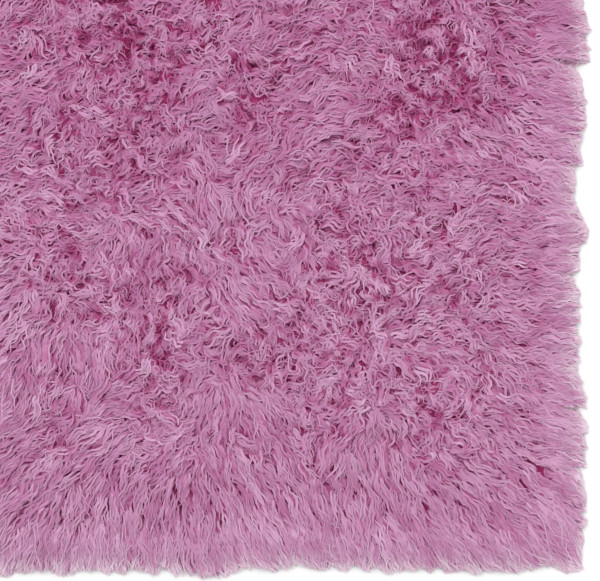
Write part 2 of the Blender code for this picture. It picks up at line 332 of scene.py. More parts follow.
def lattice_noise(x, y, wavelength, layer):
    """Smooth noise from about -1 to 1, from a seeded lattice half a wavelength apart."""
    cell = wavelength / 2
    size = 256
    reach = 1.3  # of the lattice's values, as the noise is mostly an average of them
    lattice = np.random.default_rng(100 + layer).uniform(-1, 1, (size, size))
    u, v = x / cell + size / 2, y / cell + size / 2
    i, j = np.floor(u).astype(int), np.floor(v).astype(int)
    fu, fv = smoothstep(u - i), smoothstep(v - j)
    return reach * blended(lattice, i % (size - 1), j % (size - 1), fu, fv)


def waves_at(x, y, waves, start=0.0):
    """The sum of some waves of noise."""
    for wave in waves:
        start = start + wave.strength * lattice_noise(x, y, wave.length, wave.seed)
    return start


def place_of(row):
    return RUG_WIDTH / 2 - row.in_x * MM, -RUG_LENGTH / 2 + row.up_y * MM


def nearness(x, y, row, spread=1.0):
    """1 at a row's place, and less the further a point lies from it."""
    at_x, at_y = place_of(row)
    away = np.hypot(x - at_x, y - at_y) / (row.radius * MM * spread)
    return np.exp(-away * away / 2)


def by_disorder(pair, disorder):
    calm, more = pair
    return calm + more * disorder


def depth_within(x, y, wide, long, corner):
    """How far inside a rectangle with rounded corners a point lies; below 0 outside it."""
    past_x = np.abs(x) - (wide - corner)
    past_y = np.abs(y) - (long - corner)
    round_off = np.hypot(np.maximum(past_x, 0), np.maximum(past_y, 0))
    return corner - round_off - np.minimum(np.maximum(past_x, past_y), 0)


def depth_inside(x, y):
    """How far inside the woven ground's edge a point lies."""
    return depth_within(x, y, half_x, half_y, CORNER_RADIUS)


def rim_share(x, y, reach):
    """1 at the woven ground's edge and outside it, 0 further in than the reach."""
    return smoothstep(1 - depth_inside(x, y) / reach)


def outward_of(x, y):
    """The heading away from the rug's middle, square to the nearest side, and round the corners."""
    past_x = np.maximum(np.abs(x) - (half_x - CORNER_TURN), 0) * np.sign(x)
    past_y = np.maximum(np.abs(y) - (half_y - CORNER_TURN), 0) * np.sign(y)
    long = np.hypot(past_x, past_y) + 1e-9
    return past_x / long, past_y / long


def teeth_profile():
    """The +X side's outline: how far up its points lie, from the lowest, and how far out."""
    points = []
    for row, lower in zip(TEETH, TEETH[1:] + [Tooth(0, 0.0, 0.0)]):
        foot = row.up_y - TOOTH_STEP
        run = foot - lower.up_y
        points += [(row.up_y, row.tip), (foot, row.notch)]
        for share in TOOTH_SHARES:
            rise = (1 - math.exp(-share * run / TOOTH_RISE)) / (1 - math.exp(-run / TOOTH_RISE))
            points.append((foot - share * run, row.notch + (lower.tip - row.notch) * rise))
    return np.array(points[::-1]).T


TOOTH_LINE = teeth_profile()


def toothed(x, y):
    """How much of the outline's unevenness is the +X side's teeth, from 0 to 1."""
    up = (y + RUG_LENGTH / 2) / MM
    start, grow = TEETH_FROM
    stop, fade = TEETH_TO
    ends = smoothstep((up - start) / grow) * smoothstep((stop - up) / fade)
    return ends * np.maximum(outward_of(x, y)[0], 0) ** 2


def outer_depth(x, y):
    """How far inside the pile's own outline a point lies."""
    firm_x, firm_y = RUG_WIDTH / 2, RUG_LENGTH / 2
    uneven = waves_at(x, y, UNEVEN)
    notch = NOTCH.strength * (END_NOTCH + (1 - END_NOTCH) * outward_of(x, y)[0] ** 2)
    uneven = uneven - notch * np.abs(lattice_noise(x, y, NOTCH.length, NOTCH.seed)) ** NOTCH_POWER
    from_corner = np.hypot(np.abs(x) - firm_x, np.abs(y) - firm_y) / EVEN_CORNER
    uneven = uneven * (1 - EVEN_SHARE * np.exp(-from_corner * from_corner / 2))
    teeth = toothed(x, y)
    tooth = np.interp((y + firm_y) / MM, *TOOTH_LINE) - TOOTH_FLUFF
    uneven = waves_at(x, y, [JAG], uneven * (1 - EVEN_SHARE * teeth) + tooth * MM * teeth)
    for row in OUTLINE:
        uneven = uneven + row.out * MM * nearness(x, y, row)
    return depth_within(x, y, firm_x + RIM_FLUFF, firm_y + RIM_FLUFF, OUTER_CORNER) + uneven


class Net:
    """A square net of points over the rug."""

    def __init__(self, step):
        self.step = step
        self.columns = int(RUG_WIDTH / step) + NET_MARGIN
        self.rows = int(RUG_LENGTH / step) + NET_MARGIN
        self.low_x = -(self.columns - 1) / 2 * step
        self.low_y = -(self.rows - 1) / 2 * step
        x = self.low_x + step * np.arange(self.columns)
        y = self.low_y + step * np.arange(self.rows)
        self.x, self.y = np.meshgrid(x, y, indexing="ij")

    def place(self, x, y):
        u = np.clip((x - self.low_x) / self.step, 0, self.columns - 1.001)
        v = np.clip((y - self.low_y) / self.step, 0, self.rows - 1.001)
        return u, v

    def read(self, grid, x, y):
        u, v = self.place(x, y)
        i, j = u.astype(int), v.astype(int)
        return blended(grid, i, j, u - i, v - j)


class PileTop:
    """Height of the matted pile over the floor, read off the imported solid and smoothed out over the
    gaps between its rim locks, and then hollowed where the strands part."""

    def __init__(self, solid):
        mesh = solid.data
        tree = BVHTree.FromPolygons(
            [v.co for v in mesh.vertices], [p.vertices for p in mesh.polygons]
        )
        self.net = net = Net(TOP_STEP)
        height = np.zeros(net.x.shape)
        down = Vector((0, 0, -1))
        for cell in np.ndindex(height.shape):
            hit = tree.ray_cast(Vector((net.x[cell], net.y[cell], 1)), down)[0]
            height[cell] = hit.z if hit else 0.0
        x, y = net.x, net.y
        inside = depth_inside(x, y)
        # how much of the way from the woven ground's edge to the pile's outline a point lies
        past = np.maximum(-inside, 0)
        reached = past / (past + np.maximum(outer_depth(x, y), 0) + 1e-6)
        spilled = RIM_HEIGHT * (1 - RIM_FALL[0] * reached - RIM_FALL[1] * reached**2)
        share = smoothstep((inside - RIM_BLEND[0]) / RIM_BLEND[1])
        height = height * share + spilled * (1 - share)
        # the hollows in the photo, and smaller ones all over the pile
        dip = np.zeros(height.shape)
        for row in PARTINGS:
            dip = dip + row.depth * MM * PARTING_DEPTH * nearness(x, y, row, PARTING_SPREAD)
        small = (waves_at(x, y, DIP_WAVES) - DIP_FROM[0]) / DIP_FROM[1]
        dip = dip + SMALL_DIP * smoothstep(small) * disorder_at(x, y)
        self.dip = dip * smoothstep(inside / DIP_RIM)
        self.even = height
        self.height = height - self.dip

    def __call__(self, x, y):
        return self.net.read(self.height, x, y)


class Envelope:
    """Height of the surface that the strands make between them, on a fine net. How much of the sky
    it hides from a strand sets the strand's painted shade: its colour is deeper where less sky shows.
    Heights count from the pile's even top, and as they were before the strands closed up at the rim."""

    def __init__(self, pile_top, layers):
        self.pile_top = pile_top
        self.net = net = Net(SKY_STEP)
        top = np.full(net.x.shape, SKY_BOTTOM)
        for paths in layers:
            for between in np.arange(SKY_POINTS) / SKY_POINTS:
                points = (paths[:, :-1] * (1 - between) + paths[:, 1:] * between).reshape(-1, 3)
                u, v = net.place(*points.T[:2])
                cell = (np.rint(u).astype(int), np.rint(v).astype(int))
                np.maximum.at(top, cell, self.lift(points))
        for axis in (0, 1):  # a strand is about three points of the net broad
            top = np.maximum(top, np.maximum(np.roll(top, 1, axis), np.roll(top, -1, axis)))
        self.top = top

    def lift(self, points):
        x, y, z = points.T
        return (z - self.pile_top.net.read(self.pile_top.even, x, y)) / lift_share(x, y)

    def sky(self, points):
        """How much of the sky the strands round each point leave open, from 0 to 1."""
        x, y = points.T[:2]
        lift = self.lift(points)
        net, closed = self.net, 0.0
        for turn in np.arange(SKY_TURNS) * 2 * math.pi / SKY_TURNS:
            slope = np.zeros(len(points))
            for away in SKY_REACHES:
                u, v = net.place(x + away * math.cos(turn), y + away * math.sin(turn))
                rise = self.top[np.rint(u).astype(int), np.rint(v).astype(int)] - lift
                slope = np.maximum(slope, rise / away)
            closed = closed + slope * slope / (1 + slope * slope)
        return 1 - closed / SKY_TURNS


def lift_share(x, y):
    """How much of a strand's own lift is left as the pile thins out at its rim."""
    return RIM_LIFT + (1 - RIM_LIFT) * smoothstep(outer_depth(x, y) / LIFT_RIM)


def lay_field(x, y):
    """The heading of the pile at each point, in radians."""
    along, across = waves_at(x, y, ALONG_WAVES), waves_at(x, y, ACROSS_WAVES)
    out_x, out_y = outward_of(x, y)
    rim = RIM_PULL * rim_share(x, y, RIM_PULL_REACH)
    along, across = along + rim * out_x, across + rim * out_y
    for row in LAY:
        pull = LAY_PULL * nearness(x, y, row)
        turn = math.radians(row.heading)
        along, across = along + pull * math.cos(turn), across + pull * math.sin(turn)
    for row in PARTINGS:
        at_x, at_y = place_of(row)
        away = np.hypot(x - at_x, y - at_y) + 1e-9
        near = away / (row.radius * MM)
        push = PARTING_PUSH * row.depth * np.exp(-near * near / PARTING_FADE)
        along = along + push * (x - at_x) / away
        across = across + push * (y - at_y) / away
    return np.arctan2(across, along)


def disorder_at(x, y):
    """0 where the strands lie side by side, 1 where they curl every way."""
    disorder = waves_at(x, y, DISORDER_WAVES, DISORDER)
    (at_x, over_x), (at_y, over_y) = WILD_FROM
    wild = smoothstep((at_x - x) / over_x) * smoothstep((y - at_y) / over_y)
    disorder = disorder + WILD_PART * wild
    for row in DEEPER:
        disorder = disorder + row.wild * nearness(x, y, row)
    calm = smoothstep((depth_inside(x, y) - CALM_END * outward_of(x, y)[1] ** 2) / CALM_RIM)
    return np.clip(disorder, LEAST_DISORDER, 1.0) * (CALM_SHARE + (1 - CALM_SHARE) * calm)


def scattered(step, jitter, grow=0.0):
    """Points of a shaken hexagonal net over the woven ground."""
    row_step = step * math.sqrt(3) / 2
    rows = int((half_y + grow) / row_step) + 2
    columns = int((half_x + grow) / step) + 2
    i, j = np.meshgrid(np.arange(-columns, columns + 1), np.arange(-rows, rows + 1))
    x = (i + 0.5 * (j % 2)) * step
    y = j * row_step
    x = x.ravel() + rng.uniform(-1, 1, x.size) * jitter * step
    y = y.ravel() + rng.uniform(-1, 1, y.size) * jitter * step
    keep = depth_inside(x, y) > -grow
    return x[keep], y[keep]


def nearest(x, y, to_x, to_y):
    """Index of the nearest of the points to_x, to_y."""
    found = np.empty(x.size, int)
    for start in range(0, x.size, 1000):
        part = slice(start, start + 1000)
        away = (x[part, None] - to_x) ** 2 + (y[part, None] - to_y) ** 2
        found[part] = np.argmin(away, axis=1)
    return found


class Tufts:
    """The tufts that the strands gather into: where each stands and how it bends."""

    def __init__(self, step):
        self.x, self.y = x, y = scattered(step, TUFT_JITTER, grow=TUFT_MARGIN)
        count = x.size
        self.disorder = disorder = disorder_at(x, y)
        self.rim = rim = rim_share(x, y, TUFT_RIM)
        spread = by_disorder(TUFT_SPREAD, disorder) * (1 - RIM_SPREAD * rim)
        self.heading = lay_field(x, y) + rng.normal(0, 1, count) * spread
        self.bend = rng.normal(0, 1, count) * by_disorder(TUFT_BEND, disorder)
        hooked = rng.uniform(0, 1, count) < by_disorder(HOOKED_SHARE, disorder)
        self.hook = hooked * rng.uniform(*HOOK_RANGE, count) * rng.choice([-1, 1], count)
        self.hook = self.hook * by_disorder(HOOK_SHARE, disorder)
        self.crimp = by_disorder(CRIMP, disorder * rng.uniform(*CRIMP_RANGE, count))
        self.wavelength = rng.uniform(*CRIMP_LENGTH, count)
        self.phase = rng.uniform(0, 2 * math.pi, count)
        long = LYING_LENGTH + (RIM_LYING_LENGTH - LYING_LENGTH) * rim
        out_x, out_y = outward_of(x, y)
        corner = 2 * np.abs(out_x * out_y) * rim
        self.length = long * rng.uniform(*LENGTH_RANGE, count) * (1 + (CORNER_STRETCH - 1) * corner)
        self.layer = rng.uniform(*LAYER_RANGE, count) * (1 - RIM_LAYER * rim)
        self.layer = self.layer * by_disorder(LAYER_SHARE, disorder)
        self.arch = rng.uniform(*ARCH_RANGE, count) * (1 - RIM_ARCH * rim)
        self.tip_drop = rng.uniform(*TIP_DROP_RANGE, count) * (1 - rim)
        self.tip_drop = self.tip_drop + rng.uniform(*RIM_DROP_RANGE, count) * rim
        self.tone = rng.normal(0, 1, count)
        self.ragged = np.abs(rng.normal(0, RAGGED, count))
        # the middle of a tuft, and not its root, stands over its point of the net, so that the pile
        # is as dense where the strands part as it is elsewhere
        back = BACK_SHARE * self.length * (1 - rim)
        for _ in range(4):
            self.back_x = -back * np.cos(self.heading)
            self.back_y = -back * np.sin(self.heading)
            outside = depth_inside(x + self.back_x, y + self.back_y) < BACK_INSIDE
            back = np.where(outside, 0.5 * back, back)


def strand_paths(tufts, x, y, length_share, points, gather, wild):
    """Centre lines of the strands rooted at x, y, as arrays by strand and point, with the share of
    the length at each point and the number of each strand's tuft."""
    tuft = nearest(x, y, tufts.x, tufts.y)
    count = x.size
    # the rising foot takes few points, because it doesn't show
    share = np.concatenate([FOOT_SHARES[:2], np.linspace(FOOT_SHARES[2], 1.0, points - 2)])
    steps = np.diff(share)
    middle = (share[1:] + share[:-1]) / 2
    length = (tufts.length[tuft] * length_share)[:, None]

    def headings(own):
        disorder = tufts.disorder[tuft]
        spread = by_disorder(STRAND_SPREAD, disorder)
        spread = spread + wild * np.clip(by_disorder(WILD_SHARE, disorder), 0, 1)
        heading = tufts.heading[tuft] + own * rng.normal(0, 1, count) * spread
        phase = tufts.phase[tuft] + own * rng.normal(0, PHASE_SPREAD, count)
        along = middle * length
        wave = np.sin(2 * math.pi * along / tufts.wavelength[tuft][:, None] + phase[:, None])
        crimp = tufts.crimp[tuft] * (1 + own * rng.uniform(*STRAND_CRIMP, count))
        curl = np.clip((middle - CURL_FROM) / (1 - CURL_FROM), 0, 1) ** CURL_POWER
        hook = tufts.hook[tuft] * (1 + own * rng.normal(0, HOOK_SPREAD, count))
        hook = hook + own * disorder * rng.normal(0, DISORDER_HOOK, count)
        bend = tufts.bend[tuft] + own * rng.normal(0, STRAND_BEND[0] + STRAND_BEND[1] * wild, count)
        return (
            heading[:, None]
            + crimp[:, None] * wave
            + bend[:, None] * (middle - BEND_ABOUT)
            + hook[:, None] * curl
        )

    run = np.clip(FOOT_RUN[0] + middle / FOOT_RUN[1], 0, 1)

    def walk(from_x, from_y, own):
        angle = headings(own)
        step = np.stack([np.cos(angle), np.sin(angle)], 2) * (steps * run * length)[:, :, None]
        start = np.stack([from_x + tufts.back_x[tuft], from_y + tufts.back_y[tuft]], 1)
        return np.cumsum(np.concatenate([start[:, None], step], 1), 1)

    own = walk(x, y, 1.0)
    guide = walk(tufts.x[tuft], tufts.y[tuft], 0.0)
    # they draw together along the tuft and spread again at its tip
    leave, start = TIP_SPREADS
    spreads = leave * (1 - tufts.rim[tuft])[:, None] * smoothstep((share - start) / (1 - start))
    pull = gather * share**GATHER_POWER * (1 - spreads)
    paths = own + (guide - own) * pull[:, :, None]
    return np.concatenate([paths, np.zeros((count, points, 1))], 2), share, tuft


def settle(top, paths, share, tufts, tuft, layer_shift):
    """Gives the strands their heights: up from the ground, then along the pile's top, in layers
    that close up where the pile thins out at the rim."""
    count = len(paths)
    path_x, path_y = paths[:, :, 0], paths[:, :, 1]
    run = np.linalg.norm(np.diff(paths[:, :, :2], axis=1), axis=2).sum(1)
    rise = smoothstep(share / FOOT_RISE)
    layer = tufts.layer[tuft] + layer_shift
    phase = tufts.phase[tuft] + rng.normal(0, HEIGHT_PHASE, count)
    wavelength = (WAVE_STRETCH * tufts.wavelength[tuft])[:, None]
    waves = 2 * math.pi * share * run[:, None] / wavelength
    wave_z = WAVE_HEIGHT * np.sin(waves + phase[:, None])
    drop = tufts.tip_drop[tuft] + rng.normal(0, DROP_SPREAD, count)
    arch = tufts.arch[tuft][:, None] * np.sin(math.pi * share)
    lift = layer[:, None] + arch + wave_z - drop[:, None] * share**3
    height = top(path_x, path_y) + lift * lift_share(path_x, path_y)
    floor = rng.uniform(*LEAST_HEIGHT, count)[:, None]
    paths[:, :, 2] = np.maximum(ROOT_HEIGHT + (height - ROOT_HEIGHT) * rise, floor)
    return paths


def unit(vectors):
    return vectors / (np.linalg.norm(vectors, axis=-1, keepdims=True) + 1e-12)


def strand_mesh(name, layer, band, painted_light_and_pale_rim_at, material):
    """Joins a band of tapering strands into one mesh of blades, whose normals fan out so that each
    is shaded as a round, soft strand. The mesh's OFBake map holds the colour: a column for each
    tone, across which go a strand's two edges, for a painted highlight and painted edge shade, and
    upwards its painted light, from 0 in painted shade deep in the pile to 1 at the rim's palest
    tips, as the given function says for each point."""
    paths = layer.paths[band]
    count, points = paths.shape[:2]
    tangent = unit(np.gradient(paths, axis=1))
    side = np.stack([-tangent[:, :, 1], tangent[:, :, 0], np.zeros((count, points))], axis=2)
    long = np.linalg.norm(side, axis=2, keepdims=True)
    # where a strand stands up, its side is taken from the next point
    for k in range(points - 2, -1, -1):
        steep = long[:, k, 0] < STEEP
        side[steep, k] = side[steep, k + 1]
    side = unit(side)
    up = np.cross(tangent, side)
    up[:, :, 2] += UPWARD_NORMAL
    up = unit(up)
    roll = rng.normal(0, layer.roll, count)[:, None, None]
    swell = np.interp(layer.share, SWELL_AT, SWELL)
    size = (layer.thick[band][:, None] * swell)[:, :, None]
    across = (side * np.cos(roll) + up * np.sin(roll)) * size

    def paired(middle, off):
        """A pair at each of a strand's points but the last, which has only its middle."""
        pairs = np.stack([middle - off, middle + off], axis=2)[:, :-1].reshape(count, -1, 3)
        return np.concatenate([pairs, middle[:, -1:]], axis=1).reshape(-1, 3)

    verts, normals = paired(paths, across), unit(paired(up, side * STRAND_FAN))
    # each blade's faces: quads between its pairs of points, and a triangle at its tip
    first = np.arange(count)[:, None, None] * (2 * points - 1)
    last = 2 * (points - 2)
    quads = (first + np.arange(0, last, 2)[:, None] + [0, 2, 3, 1]).reshape(-1, 4)
    triangles = (first + [last, last + 2, last + 1]).reshape(-1, 3)

    mesh = bpy.data.meshes.new(name)
    mesh.vertices.add(len(verts))
    mesh.vertices.foreach_set("co", verts.astype(np.float32).ravel())
    corners = np.concatenate([quads.ravel(), triangles.ravel()])
    mesh.loops.add(corners.size)
    mesh.loops.foreach_set("vertex_index", corners.astype(np.int32))
    mesh.polygons.add(len(quads) + len(triangles))
    starts = [np.arange(len(quads)) * 4, quads.size + np.arange(len(triangles)) * 3]
    mesh.polygons.foreach_set("loop_start", np.concatenate(starts).astype(np.int32))

    column = np.clip(np.rint(layer.shade[band] * (TONES - 1)), 0, TONES - 1)
    # which edge of a blade lies nearer its painted highlight is chosen at random
    turned = np.tile([-1.0, 1.0], points - 1) * rng.choice([-1.0, 1.0], count)[:, None]
    across = np.concatenate([turned, np.full((count, 1), PAINTED_RIDGE)], axis=1)
    u = ((column[:, None] + 0.5 + COLUMN_SHARE * across) / TONES).ravel()
    # upwards in the map: the painted light and shade, and the rim's paler tips
    v = MAP_MARGIN + (1 - 2 * MAP_MARGIN) * np.clip(painted_light_and_pale_rim_at(verts, layer.pale), 0, 1)
    uv = mesh.uv_layers.new(name="OFBake")
    uv.data.foreach_set("uv", np.stack([u[corners], v[corners]], 1).astype(np.float32).ravel())
    mesh.update(calc_edges=True)
    mesh.shade_smooth()
    mesh.normals_split_custom_set_from_vertices(normals.astype(np.float32))
    mesh.materials.append(material)
    return placed(name, mesh)


def colour(*rgb):
    """The linear colour of an sRGB one from 0 to 255, which isn't nearly black."""
    return *(((c / 255 + 0.055) / 1.055) ** 2.4 for c in rgb), 1.0


class Material:
    """A new material, whose nodes take values or other nodes' outputs."""

    def __init__(self, name, roughness, specular=0.5):
        self.made = bpy.data.materials.new(name)
        self.made.use_nodes = True
        self.nodes, self.links = self.made.node_tree.nodes, self.made.node_tree.links
        self.fill(roughness, "Roughness")
        self.fill(specular, "Specular IOR Level")

    def fill(self, value, key, node=None):
        socket = (node or self.nodes["Principled BSDF"]).inputs[key]
        if isinstance(value, bpy.types.NodeSocket):
            self.links.new(value, socket)
        else:
            socket.default_value = value

    def node(self, kind, output, inputs=(), **settings):
        """An output of a new node."""
        node = self.nodes.new("ShaderNode" + kind)
        for key, value in settings.items():
            setattr(node, key, value)
        for key, value in dict(inputs).items():
            self.fill(value, key, node)
        return node.outputs[output]

    def worked(self, operation, *values):
        return self.node("Math", "Value", enumerate(values), operation=operation)

    def texture(self, kind, inputs, **settings):
        place = self.node("TexCoord", "Object")
        return self.node("Tex" + kind, "Fac", {"Vector": place, **inputs}, **settings)

    def ramp(self, share, stops):
        """The colour at some share of the way along the stops, given as sRGB from 0 to 255."""
        tint = self.node("ValToRGB", "Color", {"Fac": share})
        ramp = tint.node.color_ramp
        ramp.interpolation = "EASE"
        ramp.elements.remove(ramp.elements[-1])
        ramp.elements[0].position, ramp.elements[0].color = stops[0][0], colour(*stops[0][1])
        for position, stop in stops[1:]:
            ramp.elements.new(position).color = colour(*stop)
        return tint

    def finish(self, tint, height, strength, distance):
        """The material itself, in a colour and with a bump."""
        self.fill(tint, "Base Color")
        bump = {"Strength": strength, "Distance": distance, "Height": height}
        self.fill(self.node("Bump", "Normal", bump), "Normal")
        return self.made


def wool_material():
    """Felted wool, painted deeper and redder where little light reaches it, which is painted shade,
    with a painted highlight along each strand and painted shade at its edges. Its colour is read off
    the strands' OFBake map, so that it bakes as it is."""
    wool = Material("wool", 0.88, 0.04)
    worked = wool.worked
    place = {"Vector": wool.node("UVMap", "UV", uv_map="OFBake")}
    columns = worked("MULTIPLY", wool.node("SeparateXYZ", "X", place), TONES)
    tone = worked("DIVIDE", worked("FLOOR", columns), TONES - 1)
    # across a strand: a painted highlight at its ridge, and painted shade towards its edges
    across = worked("MULTIPLY_ADD", worked("FRACT", columns), 2.0, -1.0 - PAINTED_RIDGE)
    edge = worked("POWER", worked("DIVIDE", worked("ABSOLUTE", across), 1 + PAINTED_RIDGE), 2.0)
    # up the map: the painted light and shade, and the rim's paler tips
    height = wool.node("SeparateXYZ", "Y", place)
    palest = worked("MULTIPLY_ADD", height, -PALE_TIPS, PALE_TIPS)
    shaded = worked("MULTIPLY", worked("MINIMUM", palest, 1.0), edge)
    painted_light_and_pale_rim = worked("MULTIPLY", height, worked("MULTIPLY_ADD", shaded, -EDGE_SHADE, 1.0))
    # from painted shade at 0 to the rim's palest tips at 1, for the deepest tone and then for the
    # palest
    dark = wool.ramp(painted_light_and_pale_rim, [
        (0.0, (156, 40, 96)), (0.24, (168, 68, 121)), (0.5, (180, 102, 148)),
        (0.8, (185, 121, 163)), (1.0, (224, 194, 212)),
    ])
    light = wool.ramp(painted_light_and_pale_rim, [
        (0.0, (168, 52, 108)), (0.24, (184, 93, 142)), (0.5, (199, 138, 177)),
        (0.8, (209, 164, 196)), (1.0, (236, 216, 228)),
    ])
    tint = wool.node("Mix", "Result", {"Factor": tone, "A": dark, "B": light}, data_type="RGBA")
    fibres = wool.texture("Noise", {"Scale": 2600, "Detail": 3})
    return wool.finish(tint, fibres, strength=0.35, distance=0.0006)


def foot_material():
    """The dense foot of the pile, in a deep colour that is painted shade for the depths of the pile.
    """
    foot = Material("pile_foot", 0.95, 0.1)
    noise = foot.texture("Noise", {"Scale": 260, "Detail": 4})
    # painted shade: deeper where the bump's height is low
    tint = foot.ramp(noise, [(0.35, (140, 38, 88)), (0.65, (160, 56, 107))])
    return foot.finish(tint, noise, strength=0.8, distance=0.003)


def ground_material():
    """The woven wool ground: weft ribs over the warp."""
    weave = Material("ground_weave", 0.92)
    both = weave.worked("MULTIPLY", *(
        weave.texture("Wave", {"Scale": scale, "Distortion": 0.6}, bands_direction=direction)
        for direction, scale in (("X", 130), ("Y", 200))
    ))
    # painted shade: the colour deepens where the ribs' bump is low, in the grooves
    tint = weave.ramp(both, [(0.0, (138, 70, 108)), (1.0, (206, 150, 184))])
    return weave.finish(tint, both, strength=0.9, distance=0.0012)


def slab(name, top_of, inset, step, bottom, material):
    """A closed slab over the woven ground: its top follows top_of, its underside is flat."""
    wide, long = half_x - inset, half_y - inset
    sides = (half * np.linspace(-1, 1, int(2 * half / step) + 1) for half in (wide, long))
    x, y = np.meshgrid(*sides, indexing="ij")
    # the corners are drawn in along the diagonal to round them
    past_x = np.maximum(np.abs(x) - (wide - CORNER_RADIUS), 0)
    past_y = np.maximum(np.abs(y) - (long - CORNER_RADIUS), 0)
    slack = 1 - np.maximum(past_x, past_y) / (np.hypot(past_x, past_y) + 1e-9)
    x = x - np.where(past_y > 0, np.sign(x) * past_x * slack, 0)
    y = y - np.where(past_x > 0, np.sign(y) * past_y * slack, 0)
    index = np.arange(x.size).reshape(x.shape)
    border = np.concatenate([index[:, 0], index[-1, 1:], index[-2::-1, -1], index[0, -2:0:-1]])
    top = np.stack([x, y, top_of(x, y)], 2).reshape(-1, 3)
    verts = np.concatenate([top, top[border] * [1, 1, 0] + [0, 0, bottom]])
    a, b, c, d = index[:-1, :-1], index[1:, :-1], index[1:, 1:], index[:-1, 1:]
    top_faces = np.stack([a, b, c, d], -1).reshape(-1, 4)
    low = x.size + np.arange(border.size)
    wall = np.stack([border, low, np.roll(low, -1), np.roll(border, -1)], 1)
    faces = np.concatenate([top_faces, wall]).tolist() + [low[::-1].tolist()]
    mesh = bpy.data.meshes.new(name)
    mesh.from_pydata(verts.tolist(), [], faces)
    mesh.update()
    mesh.shade_smooth()
    mesh.set_sharp_from_angle(angle=math.radians(60))
    mesh.materials.append(material)
    return placed(name, mesh)


def dress(obj):
    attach(obj, "root")
    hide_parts("rug")


def tone_at(x, y):
    """How much paler the pile is than its mean, or deeper."""
    tone = waves_at(x, y, [TONE_WAVE])
    for row in DEEPER:
        tone = tone - row.by * nearness(x, y, row)
    return tone


def fit_to_outline(paths, ragged):
    """Draws in the strands that pass the pile's outline, and lets out those at the rim that fall
    short of it, each about its root."""
    root = paths[:, 0, :2]
    inside = depth_inside(*root.T)
    at_rim = smoothstep(LET_OUT - inside / rng.uniform(*LET_OUT_RIM, len(paths)))
    ragged = ragged * (1 - (1 - TOOTH_RAGGED) * toothed(*root.T))
    factor = np.ones(len(paths))
    for _ in range(5):
        tip = root + (paths[:, -1, :2] - root) * factor[:, None]
        spare = outer_depth(*tip.T) - ragged
        run = np.linalg.norm(tip - root, axis=1) + 1e-6
        grown = 1 + spare / run * np.where(spare < 0, 1.0, at_rim)
        factor = np.clip(factor * np.clip(grown, *GROWTH_STEP), *GROWTH)
    root = root[:, None]
    paths[:, :, :2] = root + (paths[:, :, :2] - root) * factor[:, None, None]
    # the ones that still loop past it are drawn straight
    spare = outer_depth(paths[:, :, 0], paths[:, :, 1]).min(1)
    share = np.linspace(0, 1, paths.shape[1])[None, :, None]
    straight = root + (paths[:, -1:, :2] - root) * share
    pull = smoothstep(-spare / LOOP_PAST)[:, None, None]
    paths[:, :, :2] = paths[:, :, :2] * (1 - pull) + straight * pull
    return paths


